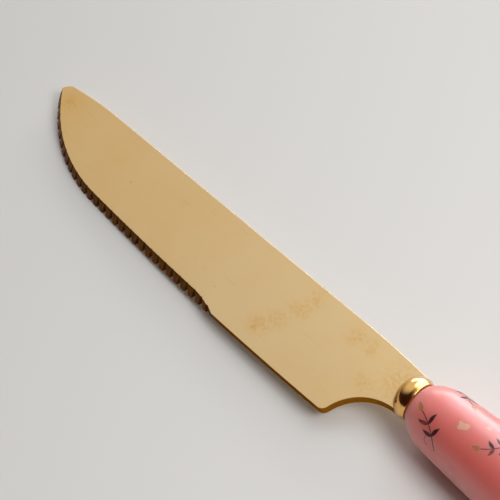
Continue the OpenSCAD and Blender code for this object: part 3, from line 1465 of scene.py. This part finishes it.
@dataclass
class SprigPrint:
    """Small leafy sprigs and gold flecks, scattered over the handle, in millimetres.

    A sprig's own sizes are for a sprig of size 1.
    """

    handle: Handle
    # Depth at which the colour starts in the glaze
    sunk: float = 0.012
    seed: int = 11
    # Rows of sprigs: the first one, the gap to the next, the sprigs in each and their first angle
    first_row: float = 9.5
    row_gap: float = 16.0
    sprigs_round: int = 3
    first_angle: float = 22.0
    # How far a sprig strays along the handle, round it in degrees, and in its turn
    stray_along: float = 2.0
    stray_round: float = 9.0
    stray_turn: float = 0.9
    flecks: int = 60
    fleck_sizes: Point = (0.35, 1.1)
    fleck_steps: int = 20
    # How far from the handle's ends a fleck sits, and where any print ends
    fleck_clear: float = 6.0
    nose_clear: float = 0.6
    butt_clear: float = 0.4
    sizes: Point = (1.35, 1.7)
    bends: Point = (0.5, 1.0)
    stem_long: float = 6.4
    stem_wide: float = 0.28
    # Steps of the stem at which its leaves sit, and the angle at which they leave it
    leaf_steps: tuple[int, int] = (5, 9)
    leaf_turn: float = 0.95
    leaf_longs: Point = (1.6, 2.2)
    leaf_wide: float = 0.62
    # Keeps the two leaves of a pair from sharing a corner
    leaf_gap: float = 0.04
    tendril_long: float = 2.8
    tendril_bend: float = 3.4
    tendril_wide: float = 0.14
    bud_long: float = 1.5
    bud_wide: float = 0.9
    ink: FiredInk = FiredInk("umber_ink", "#3a1212", "#6e302c", 0.016)
    vine: FiredInk = FiredInk("rose_brown_ink", "#7c2f2c", "#a85550", 0.013)
    ochre: FiredInk = FiredInk("ochre_ink", "#b2703a", "#c98a5c", 0.019)
    lustre: FiredInk = FiredInk("gold_lustre", "#ecb08c", "#e79a8c", 0.010)

    def _laid(self, spot: Spot, u: float, v: float) -> Vector:
        """Lays a point of a motif on the barrel.

        Args:
            spot: Where the motif sits.
            u: The point's place along the motif.
            v: Its place across the motif.

        Returns:
            The point on the knife's own axis.
        """
        # Keeps the print whole at the butt's pole
        least_radius = 2.0
        along = u * math.cos(spot.turn) - v * math.sin(spot.turn)
        round_way = u * math.sin(spot.turn) + v * math.cos(spot.turn)
        x = min(max(spot.x + along, self.nose_clear), self.handle.long - self.butt_clear)
        radius = self.handle.radius_at(x)
        a = math.radians(spot.degrees) + round_way / max(radius, least_radius)
        out = radius - self.sunk
        return Vector((x, out * math.cos(a), out * math.sin(a)))

    def _strip(self, mesh: BMesh, spot: Spot, line: list[Point], widths: list[float]) -> None:
        """Draws a brush stroke along a line.

        Args:
            mesh: The ink's mesh.
            spot: Where the motif sits.
            line: Points of the line, on the motif.
            widths: Width of the stroke at each point.
        """
        before = None
        for i, (u, v) in enumerate(line):
            ahead = Vector(line[min(i + 1, len(line) - 1)]) - Vector(line[max(i - 1, 0)])
            across = Vector((-ahead.y, ahead.x)).normalized() * widths[i] / 2
            row = [
                mesh.verts.new(self._laid(spot, u + s * across.x, v + s * across.y))
                for s in (-1, 0, 1)
            ]
            if before:
                for k in (0, 1):
                    quad = mesh.faces.new((before[k], before[k + 1], row[k + 1], row[k]))
                    quad.smooth = True
            before = row

    def _curl(
        self, start: Point, heading: float, long: float, bend: float, steps: int = 14
    ) -> list[Point]:
        """Draws a line that bends more and more as it goes.

        Args:
            start: Where it starts, on the motif.
            heading: Way in which it starts, in radians.
            long: Its length.
            bend: How much it bends in all.
            steps: Number of steps.

        Returns:
            Its points.
        """
        # Shares of an even bend at the start, and what is added on the way to the end
        first, growth = 0.4, 1.2
        u, v = start
        found = [(u, v)]
        for i in range(steps):
            heading += bend * (first + growth * i / steps) / steps
            u += long / steps * math.cos(heading)
            v += long / steps * math.sin(heading)
            found.append((u, v))
        return found

    def _leaf(
        self, mesh: BMesh, spot: Spot, at: Point, heading: float, long: float, wide: float
    ) -> None:
        """Draws a pointed leaf.

        Args:
            mesh: The ink's mesh.
            spot: Where the motif sits.
            at: Where the leaf starts, on the motif.
            heading: Way in which it starts, in radians.
            long: Its length.
            wide: Its width.
        """
        steps, bend, least_wide = 9, 0.5, 0.05
        # The leaf swells early and ends in a point, as shares of half a wave
        start, span, early = 0.04, 0.95, 0.8
        line = self._curl(at, heading, long, bend, steps)
        waves = [math.pi * (start + span * i / steps) ** early for i in range(steps + 1)]
        self._strip(mesh, spot, line, [max(wide * math.sin(wave), least_wide) for wave in waves])

    def _fleck(self, mesh: BMesh, spot: Spot, radius: float, rng: random.Random) -> None:
        """Draws an uneven round fleck.

        Args:
            mesh: The ink's mesh.
            spot: Where it sits.
            radius: Its radius.
            rng: The random draws.
        """
        long_share, wave_share, waves = 1.4, 0.16, 3
        centre = mesh.verts.new(self._laid(spot, 0.0, 0.0))
        phases = [rng.uniform(0, 2 * math.pi) for _ in range(waves)]
        rings = []
        for share in (0.5, 1.0):
            ring = []
            for i in range(self.fleck_steps):
                a = 2 * math.pi * i / self.fleck_steps
                wave = 1 + sum(wave_share * math.sin((k + 2) * a + p) for k, p in enumerate(phases))
                r = radius * share * wave
                ring.append(mesh.verts.new(self._laid(spot, long_share * r * math.cos(a), r * math.sin(a))))
            rings.append(ring)
        inner, outer = rings
        for i in range(self.fleck_steps):
            j = (i + 1) % self.fleck_steps
            mesh.faces.new((centre, inner[i], inner[j])).smooth = True
            mesh.faces.new((inner[i], outer[i], outer[j], inner[j])).smooth = True

    def _sprig(self, inks: dict[str, BMesh], spot: Spot, rng: random.Random) -> None:
        """Draws one sprig: a bowed stem with pairs of leaves, a bud and a tendril.

        Args:
            inks: The mesh of each ink.
            spot: Where it sits.
            rng: The random draws.
        """
        size = rng.uniform(*self.sizes)
        bend = rng.choice((-1, 1)) * rng.uniform(*self.bends)
        long = self.stem_long * size
        stem = self._curl((-long / 2, 0.0), -bend / 2, long, bend)
        self._strip(inks["vine"], spot, stem, [self.stem_wide] * len(stem))
        for i, index in enumerate(self.leaf_steps):
            heading = -bend / 2 + bend * index / len(stem)
            u, v = stem[index]
            for side in (-1, 1):
                self._leaf(
                    inks["ink"] if (i + side) % 3 else inks["vine"],
                    spot,
                    (u, v + side * self.leaf_gap),
                    heading + side * self.leaf_turn,
                    rng.uniform(*self.leaf_longs) * size,
                    self.leaf_wide * size,
                )
        curl = math.copysign(self.tendril_bend, bend)
        tendril = self._curl(stem[self.leaf_steps[0]], bend, self.tendril_long * size, curl)
        self._strip(inks["vine"], spot, tendril, [self.tendril_wide] * len(tendril))
        self._leaf(inks["ochre"], spot, stem[-1], bend / 2, self.bud_long * size, self.bud_wide * size)

    def _thicken(self, mesh: BMesh, rise: float) -> None:
        """Closes a printed sheet to a film that starts in the glaze and ends over it.

        Args:
            mesh: The sheet.
            rise: How far the film stands over the glaze.
        """
        grown = bmesh.ops.extrude_face_region(mesh, geom=mesh.faces[:], use_keep_orig=True)
        for corner in grown["geom"]:
            if isinstance(corner, BMVert):
                out = Vector((0, corner.co.y, corner.co.z)).normalized()
                corner.co += out * (self.sunk + rise)
        bmesh.ops.recalc_face_normals(mesh, faces=mesh.faces)

    def build(self) -> list[Object]:
        """Builds the print, one piece for each ink.

        Returns:
            The pieces.
        """
        rng = random.Random(self.seed)
        inks = {name: bmesh.new() for name in ("ink", "vine", "ochre", "lustre")}
        rows = int((self.handle.long - self.row_gap) / self.row_gap) + 1
        for row in range(rows):
            for k in range(self.sprigs_round):
                angle = (k + 0.5 * (row % 2)) * 360 / self.sprigs_round + self.first_angle
                spot = Spot(
                    self.first_row + row * self.row_gap + rng.uniform(-self.stray_along, self.stray_along),
                    angle + rng.uniform(-self.stray_round, self.stray_round),
                    rng.uniform(-self.stray_turn, self.stray_turn) + (math.pi if (row + k) % 2 else 0),
                )
                self._sprig(inks, spot, rng)
        for _ in range(self.flecks):
            x = rng.uniform(self.fleck_clear, self.handle.long - self.fleck_clear)
            spot = Spot(x, rng.uniform(0, 360))
            self._fleck(inks["lustre"], spot, rng.uniform(*self.fleck_sizes), rng)
        pieces = []
        for name, mesh in inks.items():
            ink = getattr(self, name)
            self._thicken(mesh, ink.rise)
            piece = finished(mesh, f"print_{name}")
            piece.data.materials.append(ink.build())
            pieces.append(ridden(piece, None))
        return pieces


@dataclass(frozen=True)
class Softbox:
    """A flat lamp that faces the middle of the knife, in metres and watts."""

    name: str
    place: Place
    width: float
    height: float
    power: float
    colour: str = "#ffffff"
    # Whether it only shows in glossy surfaces, as a reflector card does
    gloss_only: bool = False

    def build(self) -> None:
        """Adds the lamp."""
        data = bpy.data.lights.new(self.name, "AREA")
        data.shape = "RECTANGLE"
        data.size = self.width
        data.size_y = self.height
        data.energy = self.power
        data.color = linear(self.colour)[:3]
        lamp = placed(self.name, data)
        lamp.location = self.place
        lamp.rotation_euler = (-Vector(self.place)).to_track_quat("-Z", "Y").to_euler()
        lamp.visible_camera = False
        lamp.visible_diffuse = not self.gloss_only


@dataclass
class Studio:
    """The table, the lamps, the room's soft light and the camera."""

    table_wide: float = 4.0
    table_steps: int = 4
    lamps: tuple[Softbox, ...] = (
        Softbox("low_window", (-0.43, 0.61, 0.16), 0.62, 0.24, 2.6),
        Softbox("high_window", (0.30, 0.06, 0.40), 0.24, 0.24, 1.16),
        Softbox("side_window", (0.0, 0.22, 0.34), 0.3, 0.24, 0.2),
        Softbox("gloss_card", (-0.13, 0.592, 0.34), 0.46, 0.92, 5.8, "#dfe8f2", gloss_only=True),
    )
    # Way to the middle of the sky, the cosines off it at which the sky starts and is full, and the
    # colours of the sky and of the room round it
    sky_way: Place = (-0.55, 0.45, 0.703)
    sky_start: float = 0.42
    sky_full: float = 0.92
    bright: str = "#efefef"
    dim: str = "#301c15"
    # The camera's place, in millimetres, and its own three ways
    camera_at: Place = (131.69, -130.909, 280.869)
    right: Place = (0.65498, 0.75464, -0.03897)
    down: Place = (0.57131, -0.52829, -0.62810)
    ahead: Place = (-0.49457, 0.38913, -0.77716)
    focal_px: float = 1301.73
    image_px: int = 500
    sensor: float = 36.0
    # Nearest distance that the camera draws, in metres
    nearest: float = 0.01

    def _table(self) -> None:
        """Adds the table top."""
        mesh = bmesh.new()
        steps = self.table_steps
        bmesh.ops.create_grid(mesh, x_segments=steps, y_segments=steps, size=self.table_wide / 2)
        table = meshed(mesh, "table_top")
        table.data.materials.append(PaleTable().build())

    def _room(self) -> None:
        """Gives the world a bright sky on one side and a dim room round it."""
        world = bpy.data.worlds.new("room")
        bpy.context.scene.world = world
        world.use_nodes = True
        tree = world.node_tree
        tree.nodes.clear()
        way = add_node(tree, "ShaderNodeTexCoord").outputs["Generated"]
        off = add_node(tree, "ShaderNodeVectorMath", {0: way, 1: self.sky_way}, operation="DOT_PRODUCT")
        level = add_node(
            tree,
            "ShaderNodeMapRange",
            {"Value": off, "From Min": self.sky_start, "From Max": self.sky_full},
            interpolation_type="SMOOTHSTEP",
        )
        colours = {"Factor": level, "A": linear(self.dim), "B": linear(self.bright)}
        tint = add_node(tree, "ShaderNodeMix", colours, data_type="RGBA")
        back = add_node(tree, "ShaderNodeBackground", {"Color": tint})
        add_node(tree, "ShaderNodeOutputWorld", {"Surface": back})

    def _camera(self) -> None:
        """Adds the camera."""
        data = bpy.data.cameras.new("camera")
        data.sensor_width = self.sensor
        data.lens = self.focal_px * self.sensor / self.image_px
        data.clip_start = self.nearest
        camera = placed("camera", data)
        up, back = -Vector(self.down), -Vector(self.ahead)
        turned = Matrix((Vector(self.right), up, back)).transposed().to_4x4()
        camera.matrix_world = Matrix.Translation(Vector(self.camera_at) * MM) @ turned
        bpy.context.scene.camera = camera

    def build(self) -> None:
        """Builds the studio."""
        self._table()
        self._room()
        for lamp in self.lamps:
            lamp.build()
        self._camera()
        bpy.context.scene.view_settings.view_transform = "Standard"


def main() -> None:
    """Builds the pieces in order."""
    logging.basicConfig(level=logging.INFO)
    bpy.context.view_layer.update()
    Blade().build()
    Ferrule().build()
    handle = Handle()
    handle.build()
    SprigPrint(handle).build()
    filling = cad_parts["filling"]
    filling.data.materials.clear()
    filling.data.materials.append(CastResin().build())
    LOG.info("filling: %d faces", len(filling.data.polygons))
    Studio().build()


if __name__ == "__main__":
    main()
